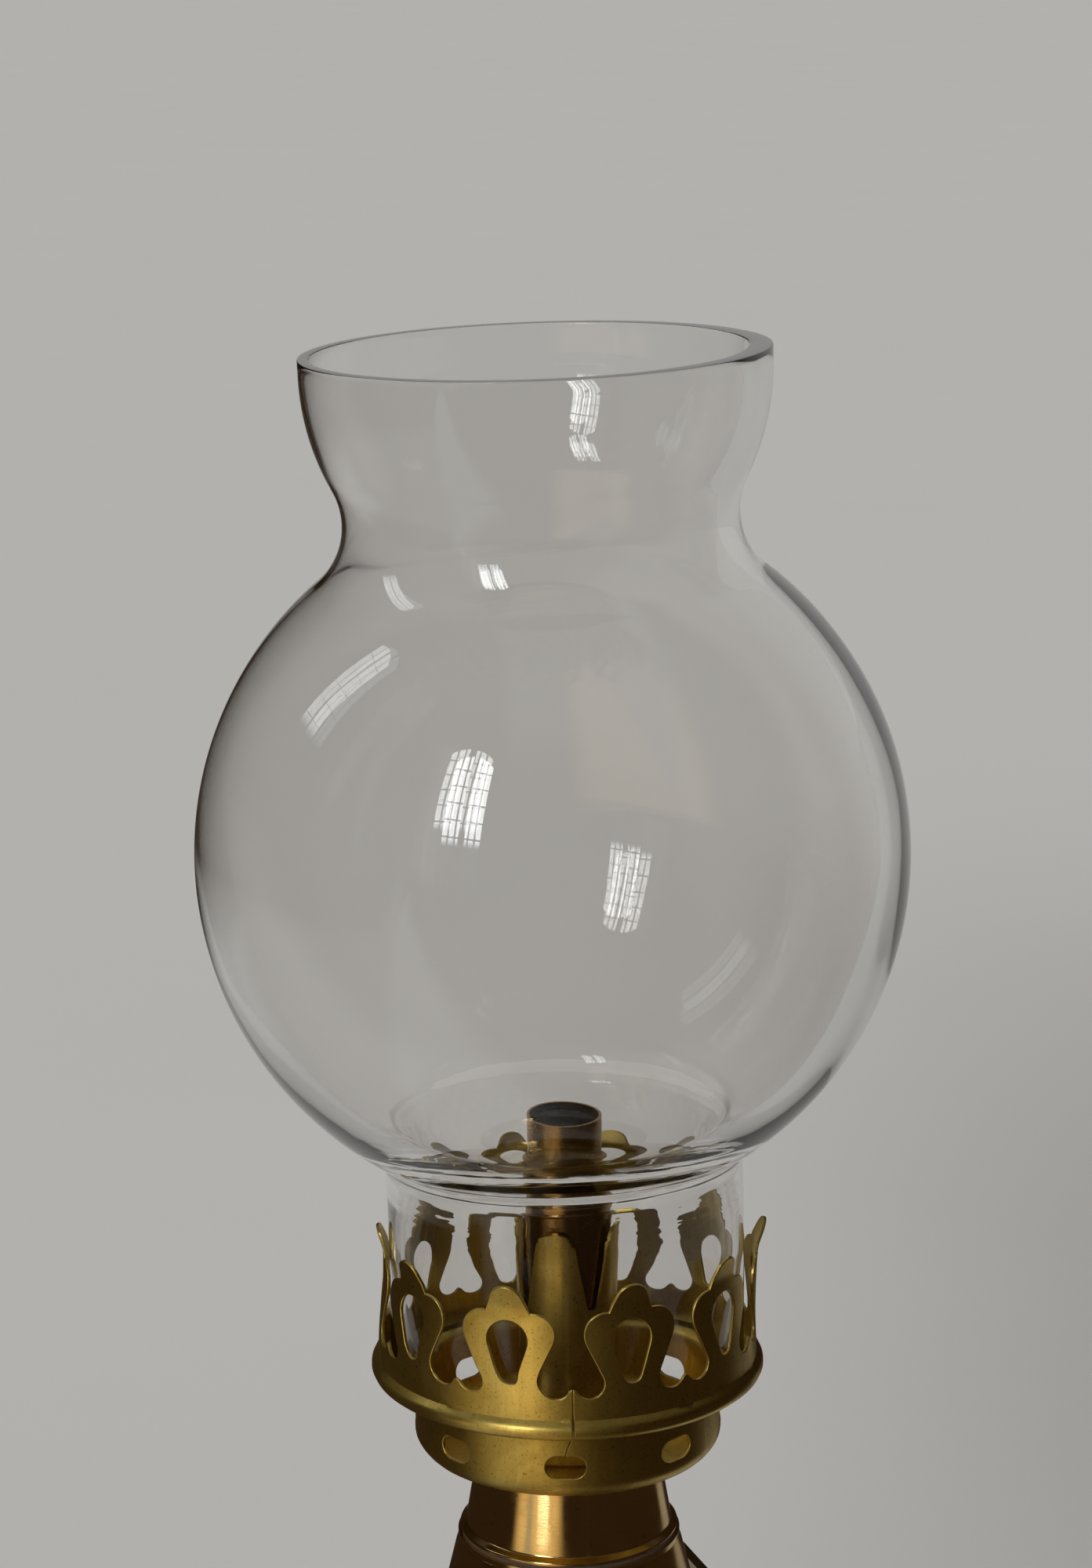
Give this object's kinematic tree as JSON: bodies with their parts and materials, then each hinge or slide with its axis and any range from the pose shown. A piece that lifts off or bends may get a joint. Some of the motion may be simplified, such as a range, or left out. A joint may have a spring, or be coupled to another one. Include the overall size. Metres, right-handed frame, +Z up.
{
  "type": "pigeon lamp",
  "caption": "Spirit lamp: weighted conical brass font with a strap handle, screw-in wick burner, pierced clawed gallery and a blown clear glass globe with a flared neck.",
  "frame": {"origin": "centre of the foot's underside, on the table", "axes": "+Z up along the lamp's axis, +X from the axis towards the handle"},
  "size_m": [0.084, 0.084, 0.2185],
  "materials": {
    "polished_brass": "polished, lightly tarnished",
    "aged_brass": "brushed, olive-brown patina",
    "plain_brass": "turned or pressed, unpolished",
    "handle_brass": "dark tarnished strap",
    "cast_iron": "rough cast, unpainted",
    "steel": "plain turned steel",
    "leather": "dark oiled washer leather",
    "wick_cotton": "round cotton wick, charred at the top",
    "wadding_cotton": "raw cotton wadding",
    "clear_glass": "clear blown glass"
  },
  "bodies": {
    "font": {"foot_shell": "polished_brass", "foot_plate": "plain_brass", "ballast_disc": "cast_iron", "foot_stud": "steel", "stud_nut": "steel", "font_shell": "polished_brass", "font_pan": "plain_brass", "neck_ring": "polished_brass", "wadding": "wadding_cotton", "handle": "handle_brass"},
    "washer": {"seal_washer": "leather"},
    "burner": {"burner_cap": "polished_brass", "thread_bush": "plain_brass", "wick_tube": "aged_brass"},
    "regulator": {"regulator_sleeve": "aged_brass"},
    "wick_carriage": {"wick_carrier": "plain_brass", "drive_pin": "steel", "wick": "wick_cotton"},
    "gallery": {"gallery_crown": "aged_brass", "gallery_collet": "aged_brass"},
    "globe": {"globe": "clear_glass"}
  },
  "joints": [
    {"name": "burner_turn", "type": "hinge", "parent": "font", "child": "washer", "pos_m": [0, 0, 0.0848], "axis": [0, 0, 1], "range_deg": [0, 1440]},
    {"name": "burner_rise", "type": "slide", "parent": "washer", "child": "burner", "axis": [0, 0, 1], "range_m": [0, 0.005]},
    {"name": "regulator_turn", "type": "hinge", "parent": "burner", "child": "regulator", "pos_m": [0, 0, 0.095], "axis": [0, 0, 1], "range_deg": [-135, 90]},
    {"name": "wick_lift", "type": "slide", "parent": "burner", "child": "wick_carriage", "axis": [0, 0, 1], "range_m": [-0.006, 0.004]},
    {"name": "gallery_lift", "type": "slide", "parent": "regulator", "child": "gallery", "axis": [0, 0, 1], "range_m": [0, 0.045]},
    {"name": "globe_lift", "type": "slide", "parent": "gallery", "child": "globe", "axis": [0, 0, 1], "range_m": [0, 0.06]}
  ],
  "couplings": [
    {"joint": "burner_turn", "follows": "burner_rise", "rad_per_m": 5026.5},
    {"joint": "regulator_turn", "follows": "wick_lift", "rad_per_m": 392.69}
  ]
}
